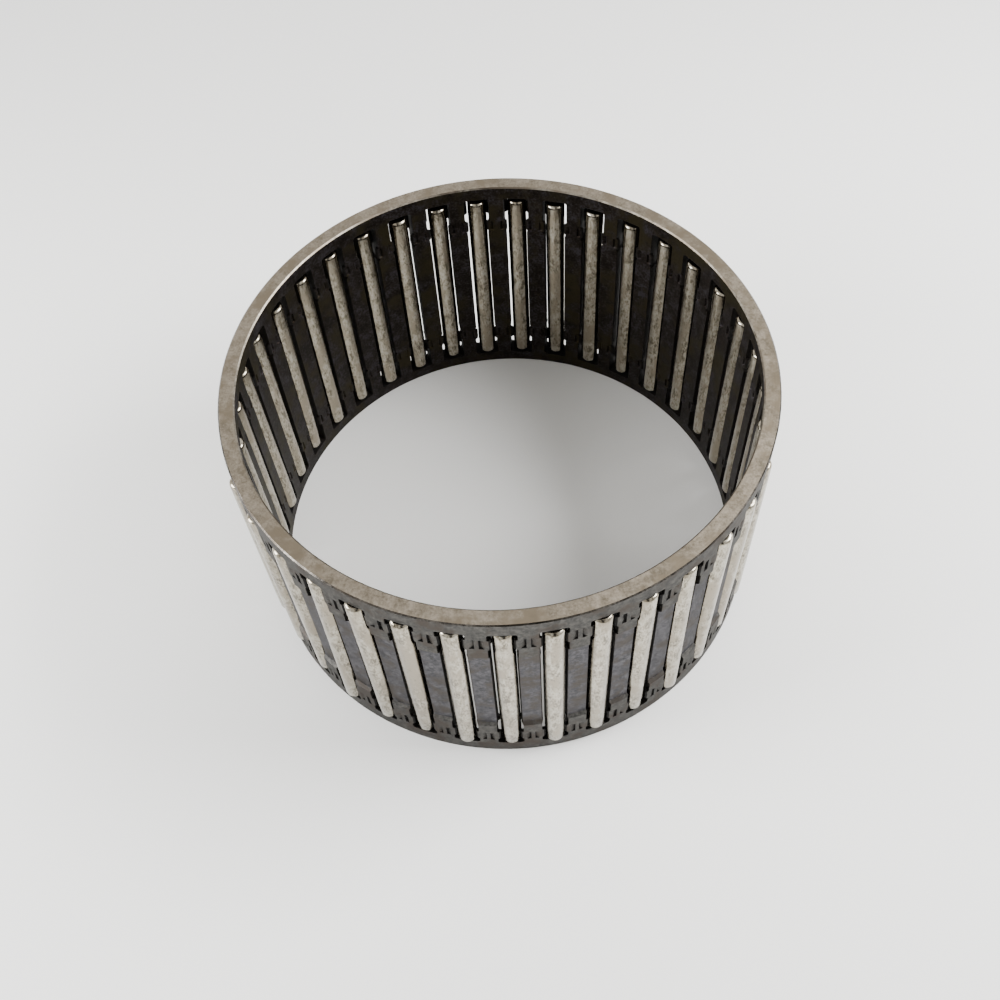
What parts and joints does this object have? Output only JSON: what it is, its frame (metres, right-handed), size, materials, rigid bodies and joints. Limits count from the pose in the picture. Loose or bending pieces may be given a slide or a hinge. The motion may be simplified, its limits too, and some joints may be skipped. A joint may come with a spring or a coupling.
{
  "type": "needle roller bearing",
  "caption": "Radial needle roller and cage assembly without rings: a thick staked steel cage holding loose needle rollers that run directly on a shaft and in a housing.",
  "frame": {"origin": "centre of the cage, on the bearing axis, half way between the two end faces", "axes": "+Z along the bearing axis, +X through the middle of the pocket of roller 1"},
  "size_m": [0.0654, 0.0655, 0.0348],
  "materials": {
    "cage_steel": "tumbled and oiled machined steel",
    "roller_steel": "centreless ground bearing steel"
  },
  "bodies": {
    "cage": {"cage": "cage_steel"},
    "needle_roller_01": {"needle_roller_01": "roller_steel"},
    "needle_roller_02": {"needle_roller_02": "roller_steel"},
    "needle_roller_03": {"needle_roller_03": "roller_steel"},
    "needle_roller_04": {"needle_roller_04": "roller_steel"},
    "needle_roller_05": {"needle_roller_05": "roller_steel"},
    "needle_roller_06": {"needle_roller_06": "roller_steel"},
    "needle_roller_07": {"needle_roller_07": "roller_steel"},
    "needle_roller_08": {"needle_roller_08": "roller_steel"},
    "needle_roller_09": {"needle_roller_09": "roller_steel"},
    "needle_roller_10": {"needle_roller_10": "roller_steel"},
    "needle_roller_11": {"needle_roller_11": "roller_steel"},
    "needle_roller_12": {"needle_roller_12": "roller_steel"},
    "needle_roller_13": {"needle_roller_13": "roller_steel"},
    "needle_roller_14": {"needle_roller_14": "roller_steel"},
    "needle_roller_15": {"needle_roller_15": "roller_steel"},
    "needle_roller_16": {"needle_roller_16": "roller_steel"},
    "needle_roller_17": {"needle_roller_17": "roller_steel"},
    "needle_roller_18": {"needle_roller_18": "roller_steel"},
    "needle_roller_19": {"needle_roller_19": "roller_steel"},
    "needle_roller_20": {"needle_roller_20": "roller_steel"},
    "needle_roller_21": {"needle_roller_21": "roller_steel"},
    "needle_roller_22": {"needle_roller_22": "roller_steel"},
    "needle_roller_23": {"needle_roller_23": "roller_steel"},
    "needle_roller_24": {"needle_roller_24": "roller_steel"},
    "needle_roller_25": {"needle_roller_25": "roller_steel"},
    "needle_roller_26": {"needle_roller_26": "roller_steel"},
    "needle_roller_27": {"needle_roller_27": "roller_steel"},
    "needle_roller_28": {"needle_roller_28": "roller_steel"},
    "needle_roller_29": {"needle_roller_29": "roller_steel"},
    "needle_roller_30": {"needle_roller_30": "roller_steel"},
    "needle_roller_31": {"needle_roller_31": "roller_steel"},
    "needle_roller_32": {"needle_roller_32": "roller_steel"},
    "needle_roller_33": {"needle_roller_33": "roller_steel"},
    "needle_roller_34": {"needle_roller_34": "roller_steel"},
    "needle_roller_35": {"needle_roller_35": "roller_steel"},
    "needle_roller_36": {"needle_roller_36": "roller_steel"},
    "needle_roller_37": {"needle_roller_37": "roller_steel"}
  },
  "joints": [
    {"name": "needle_roller_01_spin", "type": "hinge", "parent": "cage", "child": "needle_roller_01", "pos_m": [0.03146, -0.00006, -0.00012], "axis": [0.0042, 0.0005, 1], "continuous": true},
    {"name": "needle_roller_02_spin", "type": "hinge", "parent": "cage", "child": "needle_roller_02", "pos_m": [0.03087, 0.00523, -0.00012], "axis": [0.007, 0.0014, 1], "continuous": true},
    {"name": "needle_roller_03_spin", "type": "hinge", "parent": "cage", "child": "needle_roller_03", "pos_m": [0.0296, 0.01052, -0.00012], "axis": [-0.0065, -0.0022, 1], "continuous": true},
    {"name": "needle_roller_04_spin", "type": "hinge", "parent": "cage", "child": "needle_roller_04", "pos_m": [0.02726, 0.01532, -0.00012], "axis": [-0.0038, -0.0012, 1], "continuous": true},
    {"name": "needle_roller_05_spin", "type": "hinge", "parent": "cage", "child": "needle_roller_05", "pos_m": [0.02442, 0.01963, -0.00012], "axis": [0.0095, 0.0095, 0.9999], "continuous": true},
    {"name": "needle_roller_06_spin", "type": "hinge", "parent": "cage", "child": "needle_roller_06", "pos_m": [0.02081, 0.02356, -0.00012], "axis": [-0.0006, -0.0002, 1], "continuous": true},
    {"name": "needle_roller_07_spin", "type": "hinge", "parent": "cage", "child": "needle_roller_07", "pos_m": [0.01634, 0.02668, -0.00012], "axis": [0.0005, 0.0025, 1], "continuous": true},
    {"name": "needle_roller_08_spin", "type": "hinge", "parent": "cage", "child": "needle_roller_08", "pos_m": [0.01164, 0.02915, -0.00012], "axis": [-0.0055, -0.0103, 0.9999], "continuous": true},
    {"name": "needle_roller_09_spin", "type": "hinge", "parent": "cage", "child": "needle_roller_09", "pos_m": [0.00668, 0.03074, -0.00012], "axis": [0.0005, 0.0057, 1], "continuous": true},
    {"name": "needle_roller_10_spin", "type": "hinge", "parent": "cage", "child": "needle_roller_10", "pos_m": [0.00141, 0.03128, -0.00012], "axis": [-0.0002, 0.0086, 1], "continuous": true},
    {"name": "needle_roller_11_spin", "type": "hinge", "parent": "cage", "child": "needle_roller_11", "pos_m": [-0.00392, 0.03116, -0.00012], "axis": [0.0017, -0.0051, 1], "continuous": true},
    {"name": "needle_roller_12_spin", "type": "hinge", "parent": "cage", "child": "needle_roller_12", "pos_m": [-0.00922, 0.02987, -0.00012], "axis": [0.0001, -0.0025, 1], "continuous": true},
    {"name": "needle_roller_13_spin", "type": "hinge", "parent": "cage", "child": "needle_roller_13", "pos_m": [-0.01406, 0.028, -0.00012], "axis": [-0.0078, 0.0127, 0.9999], "continuous": true},
    {"name": "needle_roller_14_spin", "type": "hinge", "parent": "cage", "child": "needle_roller_14", "pos_m": [-0.01864, 0.02531, -0.00012], "axis": [-0.0002, 0.0011, 1], "continuous": true},
    {"name": "needle_roller_15_spin", "type": "hinge", "parent": "cage", "child": "needle_roller_15", "pos_m": [-0.02253, 0.02171, -0.00012], "axis": [-0.0033, 0.0021, 1], "continuous": true},
    {"name": "needle_roller_16_spin", "type": "hinge", "parent": "cage", "child": "needle_roller_16", "pos_m": [-0.02603, 0.01753, -0.00012], "axis": [0.0079, -0.0063, 0.9999], "continuous": true},
    {"name": "needle_roller_17_spin", "type": "hinge", "parent": "cage", "child": "needle_roller_17", "pos_m": [-0.02863, 0.01302, -0.00012], "axis": [-0.0072, 0.0017, 1], "continuous": true},
    {"name": "needle_roller_18_spin", "type": "hinge", "parent": "cage", "child": "needle_roller_18", "pos_m": [-0.03028, 0.00795, -0.00012], "axis": [-0.0099, 0.0021, 0.9999], "continuous": true},
    {"name": "needle_roller_19_spin", "type": "hinge", "parent": "cage", "child": "needle_roller_19", "pos_m": [-0.03129, 0.00272, -0.00012], "axis": [0.0038, 0.0003, 1], "continuous": true},
    {"name": "needle_roller_20_spin", "type": "hinge", "parent": "cage", "child": "needle_roller_20", "pos_m": [-0.03114, -0.00275, -0.00012], "axis": [0.0009, -0.0004, 1], "continuous": true},
    {"name": "needle_roller_21_spin", "type": "hinge", "parent": "cage", "child": "needle_roller_21", "pos_m": [-0.03054, -0.00799, -0.00012], "axis": [0.0005, -0.0002, 1], "continuous": true},
    {"name": "needle_roller_22_spin", "type": "hinge", "parent": "cage", "child": "needle_roller_22", "pos_m": [-0.02866, -0.01288, -0.00012], "axis": [-0.0019, -0.0019, 1], "continuous": true},
    {"name": "needle_roller_23_spin", "type": "hinge", "parent": "cage", "child": "needle_roller_23", "pos_m": [-0.02595, -0.01746, -0.00012], "axis": [-0.004, -0.0037, 1], "continuous": true},
    {"name": "needle_roller_24_spin", "type": "hinge", "parent": "cage", "child": "needle_roller_24", "pos_m": [-0.02261, -0.02176, -0.00012], "axis": [0.0076, 0.0044, 1], "continuous": true},
    {"name": "needle_roller_25_spin", "type": "hinge", "parent": "cage", "child": "needle_roller_25", "pos_m": [-0.01865, -0.02532, -0.00012], "axis": [-0.0064, -0.0062, 1], "continuous": true},
    {"name": "needle_roller_26_spin", "type": "hinge", "parent": "cage", "child": "needle_roller_26", "pos_m": [-0.01414, -0.02792, -0.00012], "axis": [-0.0048, -0.0106, 0.9999], "continuous": true},
    {"name": "needle_roller_27_spin", "type": "hinge", "parent": "cage", "child": "needle_roller_27", "pos_m": [-0.00927, -0.03, -0.00012], "axis": [0.0003, 0.0023, 1], "continuous": true},
    {"name": "needle_roller_28_spin", "type": "hinge", "parent": "cage", "child": "needle_roller_28", "pos_m": [-0.00389, -0.03101, -0.00012], "axis": [0.0001, -0.0006, 1], "continuous": true},
    {"name": "needle_roller_29_spin", "type": "hinge", "parent": "cage", "child": "needle_roller_29", "pos_m": [0.00138, -0.03154, -0.00012], "axis": [-0.0007, -0.0012, 1], "continuous": true},
    {"name": "needle_roller_30_spin", "type": "hinge", "parent": "cage", "child": "needle_roller_30", "pos_m": [0.00655, -0.03073, -0.00012], "axis": [0.0011, -0.0039, 1], "continuous": true},
    {"name": "needle_roller_31_spin", "type": "hinge", "parent": "cage", "child": "needle_roller_31", "pos_m": [0.0116, -0.02904, -0.00012], "axis": [0.0021, -0.0066, 1], "continuous": true},
    {"name": "needle_roller_32_spin", "type": "hinge", "parent": "cage", "child": "needle_roller_32", "pos_m": [0.01639, -0.02675, -0.00012], "axis": [-0.0041, 0.0057, 1], "continuous": true},
    {"name": "needle_roller_33_spin", "type": "hinge", "parent": "cage", "child": "needle_roller_33", "pos_m": [0.02081, -0.02357, -0.00012], "axis": [0.0057, -0.0087, 0.9999], "continuous": true},
    {"name": "needle_roller_34_spin", "type": "hinge", "parent": "cage", "child": "needle_roller_34", "pos_m": [0.0243, -0.01971, -0.00012], "axis": [0.0107, -0.0077, 0.9999], "continuous": true},
    {"name": "needle_roller_35_spin", "type": "hinge", "parent": "cage", "child": "needle_roller_35", "pos_m": [0.02738, -0.01537, -0.00012], "axis": [-0.0007, 0.0004, 1], "continuous": true},
    {"name": "needle_roller_36_spin", "type": "hinge", "parent": "cage", "child": "needle_roller_36", "pos_m": [0.02944, -0.01047, -0.00012], "axis": [0.002, -0.0008, 1], "continuous": true},
    {"name": "needle_roller_37_spin", "type": "hinge", "parent": "cage", "child": "needle_roller_37", "pos_m": [0.03112, -0.00529, -0.00012], "axis": [0.0026, -0.0008, 1], "continuous": true}
  ]
}
